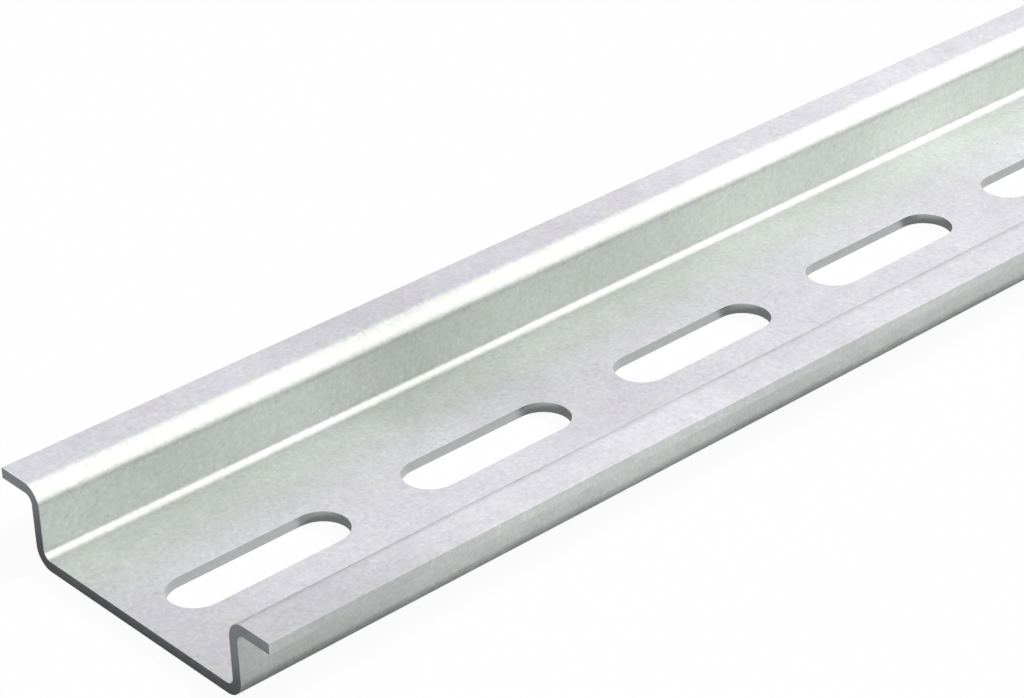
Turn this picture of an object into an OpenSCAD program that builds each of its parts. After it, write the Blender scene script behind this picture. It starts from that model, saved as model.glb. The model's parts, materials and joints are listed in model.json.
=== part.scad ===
// Slotted top-hat rail, 35 mm wide and 7.5 mm high, roll-formed from one zinc-plated steel strip.
// The rail lies on its back: X runs along it, Y across it and Z up from its back face.
// The origin is at the middle of the length and the width, on the plane of the back.

/* [Rail] */
// Length of the piece of rail
rail_length = 1000; // [100:25:2000]
// Thickness of the steel strip
thickness = 1; // [0.6:0.1:1.4]
// Width over both flanges
rail_width = 35; // [33:0.5:45]
// Height from the back to the top of the flanges
rail_height = 7.5; // [6:0.5:15]
// Width over the two upright walls
channel_width = 27; // [20:0.5:28]
// Inside radius of the four bends
bend_radius = 0.8; // [0.2:0.1:1.2]

/* [Slots] */
// Length of a slot, from end to end
slot_length = 18; // [8:0.5:20]
// Width of a slot
slot_width = 5.2; // [4.2:0.1:6.4]
// Distance from one slot to the next
slot_pitch = 25; // [24:0.5:50]
// Least length of solid floor between the last slot and the end of the rail
end_land = 2; // [1:0.5:20]

/* [Hidden] */

// Fineness of round shapes
$fn = 64;
// How far a cutter runs past the face that it opens
past = 1;

// Half of the section, from the middle of the floor out to the edge of the flange
wall_face = channel_width / 2;
wall_inner = wall_face - thickness;
flange_edge = rail_width / 2;
flange_under = rail_height - thickness;

// The axis of each bend
floor_bend = [wall_inner - bend_radius, thickness + bend_radius];
flange_bend = [wall_face + bend_radius, flange_under - bend_radius];

// The slots start half a pitch from the middle of the rail and stop short of its ends
slots_each_way = floor((rail_length / 2 - end_land - slot_length / 2) / slot_pitch + 0.5);
slot_first = slot_pitch / 2;

// A flat stretch of the strip between two corners of the section
module flat(from, to) {
    translate(from)
        square(to - from);
}

// A quarter bend of the strip about its axis, turned to face one quadrant
module bend(axis, quadrant) {
    outside = bend_radius + thickness;
    translate(axis)
        intersection() {
            difference() {
                circle(r = outside);
                circle(r = bend_radius);
            }
            translate([min(quadrant[0], 0) * outside, min(quadrant[1], 0) * outside])
                square(outside);
        }
}

// The strip as bent, on one side of the middle: floor, wall and flange with a bend between each two
module half_section() {
    flat([0, 0], [floor_bend[0], thickness]);
    bend(floor_bend, [1, -1]);
    flat([wall_inner, floor_bend[1]], [wall_face, flange_bend[1]]);
    bend(flange_bend, [-1, 1]);
    flat([flange_bend[0], flange_under], [flange_edge, rail_height]);
}

module section() {
    half_section();
    mirror([1, 0])
        half_section();
}

// The strip, roll-formed to its section along the whole length
module formed_strip() {
    translate([-rail_length / 2, 0, 0])
        rotate([90, 0, 90])
            linear_extrude(height = rail_length)
                section();
}

// One punched slot with round ends, cut right through the floor
module slot() {
    end_centre = (slot_length - slot_width) / 2;
    depth = thickness + 2 * past;
    translate([0, 0, -past]) {
        for (side = [-1, 1])
            translate([side * end_centre, 0, 0])
                cylinder(d = slot_width, h = depth);
        translate([-end_centre, -slot_width / 2, 0])
            cube([2 * end_centre, slot_width, depth]);
    }
}

// The whole row of slots, counted outwards from the middle
module slots() {
    for (step = [0 : slots_each_way - 1], side = [-1, 1])
        translate([side * (slot_first + step * slot_pitch), 0, 0])
            slot();
}

module rail() {
    color([0.78, 0.79, 0.8])
        difference() {
            formed_strip();
            slots();
        }
}

rail();
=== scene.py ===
"""Slotted top-hat rail in zinc-plated steel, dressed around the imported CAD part."""
import json
import math

import bmesh
import bpy
from mathutils import Matrix, Vector


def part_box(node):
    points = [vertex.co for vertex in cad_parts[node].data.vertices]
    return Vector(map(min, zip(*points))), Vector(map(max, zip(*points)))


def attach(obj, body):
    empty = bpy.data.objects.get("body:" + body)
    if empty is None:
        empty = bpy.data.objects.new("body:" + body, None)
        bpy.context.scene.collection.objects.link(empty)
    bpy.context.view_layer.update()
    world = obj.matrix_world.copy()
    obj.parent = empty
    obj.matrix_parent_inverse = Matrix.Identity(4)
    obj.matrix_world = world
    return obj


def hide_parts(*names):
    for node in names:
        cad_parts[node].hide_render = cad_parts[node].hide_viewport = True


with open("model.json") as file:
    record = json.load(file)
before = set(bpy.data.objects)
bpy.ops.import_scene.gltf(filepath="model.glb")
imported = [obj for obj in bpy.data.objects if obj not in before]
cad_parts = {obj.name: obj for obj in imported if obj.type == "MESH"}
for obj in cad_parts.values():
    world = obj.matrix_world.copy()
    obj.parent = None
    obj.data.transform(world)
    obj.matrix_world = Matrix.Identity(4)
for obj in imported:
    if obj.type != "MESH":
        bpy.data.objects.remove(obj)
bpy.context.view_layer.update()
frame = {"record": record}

# ---------------------------------------------------------------- sizes, in metres

MM = 0.001
THICKNESS = 1.0 * MM
CHANNEL_WIDTH = 27.0 * MM
BEND_RADIUS = 0.8 * MM
EDGE_RADIUS = 0.015 * MM
BEND_STEPS = 14
EDGE_STEPS = 3
SLOT_END_STEPS = 24
LAMP_AIM = 50 * MM

low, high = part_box("rail")
LENGTH = high.x - low.x
HALF_LENGTH = LENGTH / 2
HALF_WIDTH = (high.y - low.y) / 2
HEIGHT = high.z - low.z

slot_mount = next(m for m in frame["record"]["mounts"] if m["name"] == "slot_pair_1")
SLOT_LENGTH = slot_mount["dims"]["slot_length_mm"] * MM
SLOT_RADIUS = slot_mount["dims"]["hole_r_mm"] * MM
SLOT_PITCH = slot_mount["dims"]["spacing_x_mm"] * MM
SLOT_COUNT = round(LENGTH / SLOT_PITCH)

OUTER_RADIUS = BEND_RADIUS + THICKNESS
FLOOR_AXIS = Vector((CHANNEL_WIDTH / 2 - OUTER_RADIUS, OUTER_RADIUS))
FLANGE_AXIS = Vector((CHANNEL_WIDTH / 2 + BEND_RADIUS, HEIGHT - OUTER_RADIUS))

# ---------------------------------------------------------------- the rail's mesh


def arc(centre, radius, start, end, steps, side=1):
    """Points of an arc in the section, each with a normal away from its centre, or to it with side -1."""
    made = []
    for step in range(steps + 1):
        angle = math.radians(start + (end - start) * step / steps)
        out = Vector((math.cos(angle), math.sin(angle)))
        made.append((centre + out * radius, out * side))
    return made


def half_section():
    """The strip's upper and lower face on the +Y side, from the end of the floor to the flange's edge."""
    edge_y = HALF_WIDTH - EDGE_RADIUS
    upper_edge = Vector((edge_y, HEIGHT - EDGE_RADIUS))
    lower_edge = Vector((edge_y, HEIGHT - THICKNESS + EDGE_RADIUS))
    upper = (arc(FLOOR_AXIS, BEND_RADIUS, -90, 0, BEND_STEPS, -1)
             + arc(FLANGE_AXIS, OUTER_RADIUS, 180, 90, BEND_STEPS)
             + arc(upper_edge, EDGE_RADIUS, 90, 0, EDGE_STEPS))
    lower = (arc(FLOOR_AXIS, OUTER_RADIUS, -90, 0, BEND_STEPS)
             + arc(FLANGE_AXIS, BEND_RADIUS, 180, 90, BEND_STEPS, -1)
             + arc(lower_edge, EDGE_RADIUS, -90, 0, EDGE_STEPS))
    return upper, lower


def mirrored(points):
    """Section points on the -Y side, in the opposite order."""
    flip = Vector((-1, 1))
    return [(point * flip, normal * flip) for point, normal in reversed(points)]


class Shell:
    """Vertices with their exact normals, and faces with their material's number."""

    def __init__(self):
        self.points, self.normals, self.faces, self.materials = [], [], [], []

    def add(self, point, normal):
        self.points.append(point)
        self.normals.append(normal)
        return len(self.points) - 1

    def face(self, corners, material=0):
        self.faces.append(corners)
        self.materials.append(material)

    def band(self, first, second, material=0, skip=()):
        """Quads between two closed rings of as many points."""
        count = len(first)
        for i in range(count):
            j = (i + 1) % count
            if i not in skip:
                self.face((first[i], first[j], second[j], second[i]), material)

    def mesh(self, name):
        made = bpy.data.meshes.new(name)
        made.from_pydata(self.points, [], self.faces)
        made.polygons.foreach_set("material_index", self.materials)
        work = bmesh.new()
        work.from_mesh(made)
        bmesh.ops.recalc_face_normals(work, faces=work.faces)
        work.to_mesh(made)
        work.free()
        made.polygons.foreach_set("use_smooth", [True] * len(made.polygons))
        made.normals_split_custom_set_from_vertices(self.normals)
        return made


def add_section(shell, section, x, inset=0, facing=0):
    """One ring of the section at x. At a cut end it is drawn in by inset, and its normals face along X."""
    ring = []
    for point, normal in section:
        at = point - normal * inset
        out = Vector((facing, 0, 0)) if facing else Vector((0, *normal))
        ring.append(shell.add(Vector((x, *at)), out))
    return ring


def add_slot_ring(shell, middle_x, grow, z, tilt):
    """One ring round a slot, counter-clockwise from above. Its normals rise from level by tilt degrees."""
    ring = []
    reach = SLOT_LENGTH / 2 - SLOT_RADIUS
    flat, rise = math.cos(math.radians(tilt)), math.sin(math.radians(tilt))
    for side, start in ((1, -90), (-1, 90)):
        for step in range(SLOT_END_STEPS + 1):
            angle = math.radians(start + 180 * step / SLOT_END_STEPS)
            out = Vector((math.cos(angle), math.sin(angle), 0))
            point = Vector((middle_x + side * reach, 0, z)) + out * (SLOT_RADIUS + grow)
            ring.append(shell.add(point, -out * flat + Vector((0, 0, rise))))
    return ring


def add_slot(shell, middle_x):
    """The wall of one slot with its two rounded edges. Returns its upper and lower rings."""
    rings = []
    for edge_z, sign in ((THICKNESS, 1), (0, -1)):
        steps = range(EDGE_STEPS + 1)
        if sign < 0:
            steps = reversed(steps)
        for step in steps:
            angle = math.radians(90 * step / EDGE_STEPS)
            grow = EDGE_RADIUS * (1 - math.sin(angle))
            z = edge_z - sign * EDGE_RADIUS * (1 - math.cos(angle))
            rings.append(add_slot_ring(shell, middle_x, grow, z, sign * (90 - math.degrees(angle))))
    for first, second in zip(rings, rings[1:]):
        shell.band(first, second, 1)
    return rings[0], rings[-1]


def add_plate(shell, corners, hole):
    """The flat floor round a slot, as four faces. corners run round from the -X -Y one."""
    a, d, c, b = corners
    ends = SLOT_END_STEPS + 1
    right, left = hole[:ends], hole[ends:]
    shell.face((d, c, *reversed(right)))
    shell.face((c, b, left[0], right[-1]))
    shell.face((b, a, *reversed(left)))
    shell.face((a, d, right[0], left[-1]))


def rail_mesh():
    upper, lower = half_section()
    half = len(upper)
    upper = mirrored(upper) + upper
    lower = mirrored(lower) + lower
    section = upper + list(reversed(lower))
    across = len(upper)
    floor_gaps = (half - 1, across + half - 1)

    shell = Shell()
    start, end = -HALF_LENGTH, HALF_LENGTH
    joints = [start + EDGE_RADIUS]
    joints += [start + n * SLOT_PITCH for n in range(1, SLOT_COUNT)]
    joints += [end - EDGE_RADIUS]
    rings = [add_section(shell, section, x) for x in joints]
    caps = [add_section(shell, section, x, EDGE_RADIUS, facing) for x, facing in ((start, -1), (end, 1))]

    for first, second in zip(rings, rings[1:]):
        shell.band(first, second, 0, floor_gaps)
    for cap, ring in zip(caps, (rings[0], rings[-1])):
        shell.band(cap, ring, 2)
        for i in range(across - 1):
            under = 2 * across - 1 - i
            shell.face((cap[i], cap[i + 1], cap[under - 1], cap[under]), 2)

    over, under = floor_gaps
    for n, (first, second) in enumerate(zip(rings, rings[1:])):
        top, bottom = add_slot(shell, start + (n + 0.5) * SLOT_PITCH)
        add_plate(shell, (first[over], second[over], second[over + 1], first[over + 1]), top)
        add_plate(shell, (first[under + 1], second[under + 1], second[under], first[under]), bottom)
    return shell.mesh("steel_rail")


# ---------------------------------------------------------------- materials

# Noise keeps mostly between its low and high values. A grain is the width of its largest features.
NOISE_LOW, NOISE_HIGH = 0.3, 0.7
NOISE_FALLOFF = 0.8
# Painted reflection: broad lighter and darker patches over centimetres, painted into the base colour.
REFLECTION_PATCH_GRAIN, REFLECTION_PATCH_DETAIL, REFLECTION_PATCH_SEED = 40 * MM, 1, 345
MOTTLE_GRAIN, MOTTLE_DETAIL, MOTTLE_SEED = 2.4 * MM, 4, 2
FINE_GRAIN, FINE_DETAIL, FINE_SEED = 0.45 * MM, 1, 5
SPECK_GRAIN, SPECK_DETAIL, SPECK_SEED = 0.35 * MM, 0, 3
BLUSH_GRAIN, BLUSH_DETAIL, BLUSH_SEED = 1.2 * MM, 2, 4

# The painted reflection patches run aslant over the rail, and are drawn out across it.
REFLECTION_PATCH_SLANT = 0.7
REFLECTION_PATCH_DRAW = (1, 0.3, 0.3)

SPECK_EDGE, SPECK_FULL = 0.2, 0.3
BLUSH_LOW, BLUSH_HIGH = 0.35, 0.65
ROUGHNESS_SPREAD = 0.05


def add_node(tree, kind, inputs, **settings):
    """A shader node with its settings, and each input set to a value or linked to a socket."""
    made = tree.nodes.new("ShaderNode" + kind)
    for name, value in settings.items():
        setattr(made, name, value)
    for name, value in inputs.items():
        if isinstance(value, bpy.types.NodeSocket):
            tree.links.new(value, made.inputs[name])
        else:
            made.inputs[name].default_value = value
    return made


def noise(tree, place, grain, detail, seed):
    """Even noise about 0.5, whose largest features are one grain across."""
    made = add_node(tree, "TexNoise", {"Vector": place, "W": seed, "Scale": 1 / grain,
                                       "Detail": detail, "Roughness": NOISE_FALLOFF},
                    noise_dimensions="4D")
    return made.outputs[0]


def spread(tree, value, start, end, first, last):
    """A value's range from start to end, mapped to the range from first to last."""
    made = add_node(tree, "MapRange", {"Value": value, "From Min": start, "From Max": end,
                                       "To Min": first, "To Max": last})
    return made.outputs["Result"]


def sway(tree, value, middle, swing):
    """Noise mapped to a range that swings about a middle."""
    return spread(tree, value, NOISE_LOW, NOISE_HIGH, middle - swing, middle + swing)


def product(tree, *values):
    """Sockets and numbers multiplied together."""
    result = values[0]
    for value in values[1:]:
        result = add_node(tree, "Math", {0: result, 1: value}, operation="MULTIPLY").outputs[0]
    return result


def reflection_patch_place(tree, place):
    """Object coordinates, sheared so that the painted reflection patches run aslant and scaled so that
    they are drawn out.
    """
    axes = add_node(tree, "SeparateXYZ", {0: place}).outputs
    slanted = add_node(tree, "Math", {0: axes["Y"], 1: REFLECTION_PATCH_SLANT, 2: axes["X"]},
                       operation="MULTIPLY_ADD")
    sheared = add_node(tree, "CombineXYZ", {"X": slanted.outputs[0], "Y": axes["Y"], "Z": axes["Z"]})
    return add_node(tree, "VectorMath", {0: sheared.outputs[0], 1: REFLECTION_PATCH_DRAW},
                    operation="MULTIPLY").outputs[0]


def zinc_material(name, colour, blush, roughness, painted_reflection, mottle, speck, relief):
    """Metal with painted reflection patches over centimetres, mottling over millimetres, and fine grain
    and specks.
    """
    made = bpy.data.materials.new(name)
    made.use_nodes = True
    tree = made.node_tree
    shader = tree.nodes["Principled BSDF"]
    place = add_node(tree, "TexCoord", {}).outputs["Object"]

    # Painted reflection: broad lighter and darker patches that scale the base colour.
    painted_reflection_patches = noise(tree, reflection_patch_place(tree, place), REFLECTION_PATCH_GRAIN, REFLECTION_PATCH_DETAIL, REFLECTION_PATCH_SEED)
    mottling = noise(tree, place, MOTTLE_GRAIN, MOTTLE_DETAIL, MOTTLE_SEED)
    grains = noise(tree, place, FINE_GRAIN, FINE_DETAIL, FINE_SEED)
    specks = noise(tree, place, SPECK_GRAIN, SPECK_DETAIL, SPECK_SEED)
    blushing = noise(tree, place, BLUSH_GRAIN, BLUSH_DETAIL, BLUSH_SEED)

    shade = product(tree,
                    sway(tree, painted_reflection_patches, 1, painted_reflection),
                    sway(tree, mottling, 1, mottle),
                    sway(tree, grains, 1, mottle),
                    spread(tree, specks, 1 - SPECK_FULL, 1 - SPECK_EDGE, 1, 1 - speck),
                    spread(tree, specks, SPECK_FULL, SPECK_EDGE, 1, 1 + speck))
    blend = spread(tree, blushing, BLUSH_LOW, BLUSH_HIGH, 0, 1)
    tint = add_node(tree, "Mix", {"Factor": blend, "A": (*colour, 1), "B": (*blush, 1)},
                    data_type="RGBA")
    base = add_node(tree, "VectorMath", {0: tint.outputs["Result"], "Scale": shade},
                    operation="SCALE")
    tree.links.new(base.outputs["Vector"], shader.inputs["Base Color"])

    shader.inputs["Metallic"].default_value = 1
    tree.links.new(sway(tree, mottling, roughness, ROUGHNESS_SPREAD), shader.inputs["Roughness"])
    bump = add_node(tree, "Bump", {"Height": mottling, "Distance": relief, "Strength": 1})
    tree.links.new(bump.outputs["Normal"], shader.inputs["Normal"])
    return made


# ---------------------------------------------------------------- the object

rail = bpy.data.objects.new("steel_rail", rail_mesh())
bpy.context.scene.collection.objects.link(rail)
for material in (
        zinc_material("zinc_plating", (0.55, 0.572, 0.549), (0.551, 0.568, 0.57), 0.42,
                      painted_reflection=0.15, mottle=0.07, speck=0.1, relief=0.03 * MM),
        # The slot walls are a little darker and bluer than the plating: painted shade in the slots.
        zinc_material("zinc_slot_wall_painted_shade", (0.47, 0.49, 0.475), (0.46, 0.475, 0.48), 0.25,
                      painted_reflection=0.02, mottle=0.03, speck=0.02, relief=0.005 * MM),
        # The cut ends are bare steel, darker than the plating. The depth of their dark colour is painted
        # shade.
        zinc_material("cut_steel_painted_shade", (0.2, 0.215, 0.22), (0.19, 0.2, 0.215), 0.45,
                      painted_reflection=0.02, mottle=0.05, speck=0.02, relief=0.01 * MM)):
    rail.data.materials.append(material)
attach(rail, "root")
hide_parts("rail")

# ---------------------------------------------------------------- camera

NEAR_END = -HALF_LENGTH
CAMERA_AIM = Vector((NEAR_END + 50.1 * MM, 10.7 * MM, THICKNESS))
CAMERA_DISTANCE = 293.6 * MM
CAMERA_AZIMUTH = 48.57
CAMERA_ELEVATION = 29.96
CAMERA_ROLL = -1.81
CAMERA_LENS = 114.36
CAMERA_CLIP = (0.01, 100)


def add_camera():
    azimuth, elevation = math.radians(CAMERA_AZIMUTH), math.radians(CAMERA_ELEVATION)
    level = math.cos(elevation)
    forward = Vector((level * math.cos(azimuth), level * math.sin(azimuth), -math.sin(elevation)))
    data = bpy.data.cameras.new("camera")
    data.lens = CAMERA_LENS
    data.clip_start, data.clip_end = CAMERA_CLIP
    made = bpy.data.objects.new("camera", data)
    turn = forward.to_track_quat("-Z", "Y").to_matrix().to_4x4()
    roll = Matrix.Rotation(math.radians(CAMERA_ROLL), 4, "Z")
    made.matrix_world = Matrix.Translation(CAMERA_AIM - forward * CAMERA_DISTANCE) @ turn @ roll
    bpy.context.scene.collection.objects.link(made)
    bpy.context.scene.camera = made


add_camera()

# ---------------------------------------------------------------- floor, world and lamps

WHITE = (1, 1, 1, 1)
FLOOR_HALF = 6
FLOOR_DROP = 0.05 * MM
FLOOR_COLOUR = (0.8, 0.8, 0.8, 1)
FLOOR_CAMERA_SHARE, FLOOR_GLOSS_SHARE = 0.95, 0.1
AMBIENT_STRENGTH = 0.3
LAMP_DISTANCE = 2

CREAM = (1, 1, 0.92)
PALE_CREAM = (1, 1, 0.94)
LILAC = (0.78, 0.52, 0.96)


def white_share(tree, camera_share, gloss_share):
    """How much plain white a ray sees: one share for camera rays, one for glossy and transmitted rays."""
    path = add_node(tree, "LightPath", {}).outputs
    gloss = add_node(tree, "Math", {0: path["Is Glossy Ray"], 1: path["Is Transmission Ray"]},
                     operation="MAXIMUM")
    lens = product(tree, path["Is Camera Ray"], camera_share)
    return add_node(tree, "Math", {0: gloss.outputs[0], 1: gloss_share, 2: lens},
                    operation="MULTIPLY_ADD").outputs[0]


def end_in_white(tree, shader, white, output, camera_share, gloss_share):
    """Ends a tree in its shader, mixed with a plain white one by white_share."""
    plain = add_node(tree, white, {"Color": WHITE, "Strength": 1})
    mix = add_node(tree, "MixShader", {0: white_share(tree, camera_share, gloss_share),
                                       1: shader.outputs[0], 2: plain.outputs[0]})
    add_node(tree, output, {"Surface": mix.outputs[0]})


def add_floor():
    mesh = bpy.data.meshes.new("floor")
    corners = [(x * FLOOR_HALF, y * FLOOR_HALF, 0) for x, y in ((-1, -1), (1, -1), (1, 1), (-1, 1))]
    mesh.from_pydata(corners, [], [(0, 1, 2, 3)])
    made = bpy.data.objects.new("floor", mesh)
    made.location.z = -FLOOR_DROP
    bpy.context.scene.collection.objects.link(made)
    material = bpy.data.materials.new("pale_floor")
    material.use_nodes = True
    tree = material.node_tree
    tree.nodes.clear()
    diffuse = add_node(tree, "BsdfDiffuse", {"Color": FLOOR_COLOUR})
    end_in_white(tree, diffuse, "Emission", "OutputMaterial", FLOOR_CAMERA_SHARE, FLOOR_GLOSS_SHARE)
    mesh.materials.append(material)


def add_world():
    world = bpy.data.worlds.new("studio")
    bpy.context.scene.world = world
    world.use_nodes = True
    tree = world.node_tree
    tree.nodes.clear()
    ambient = add_node(tree, "Background", {"Color": WHITE, "Strength": AMBIENT_STRENGTH})
    end_in_white(tree, ambient, "Background", "OutputWorld", 1, 1)


def place_lamp(name, data, direction):
    """A lamp that faces the near end of the rail from a direction, unseen by the camera."""
    made = bpy.data.objects.new(name, data)
    away = Vector(direction).normalized()
    made.location = Vector((NEAR_END + LAMP_AIM, 0, 0)) + away * LAMP_DISTANCE
    made.rotation_euler = away.to_track_quat("Z", "Y").to_euler()
    made.visible_camera = False
    bpy.context.scene.collection.objects.link(made)
    return made


def add_softbox(name, direction, size, radiance, colour):
    """A rectangular area lamp, for the metal alone. Its first size is level."""
    data = bpy.data.lights.new(name, "AREA")
    data.shape = "RECTANGLE"
    data.size, data.size_y = size
    data.energy = radiance * math.pi * size[0] * size[1]
    data.color = colour
    made = place_lamp(name, data, direction)
    made.visible_diffuse = False


def add_floor_key(direction, level, softness):
    """Soft slanting light for the matt floor alone, which leaves the rail's shadow there."""
    data = bpy.data.lights.new("floor_key", "SUN")
    data.energy = level * math.pi / Vector(direction).normalized().z
    data.angle = math.radians(softness)
    made = place_lamp("floor_key", data, direction)
    made.visible_glossy = False


add_floor()
add_world()
add_softbox("ceiling", (0.573, -0.145, 0.8), size=(2.4, 1.9), radiance=1.15, colour=CREAM)
add_softbox("front", (0.573, -0.74, 0.37), size=(2.3, 1.55), radiance=1.2, colour=PALE_CREAM)
add_softbox("back", (0.573, 0.65, 0.5), size=(2.2, 0.8), radiance=0.52, colour=LILAC)
add_floor_key((0.8, -0.18, 0.5), level=0.8, softness=15)

# ---------------------------------------------------------------- finish

scene = bpy.context.scene
scene.view_settings.view_transform = "Standard"
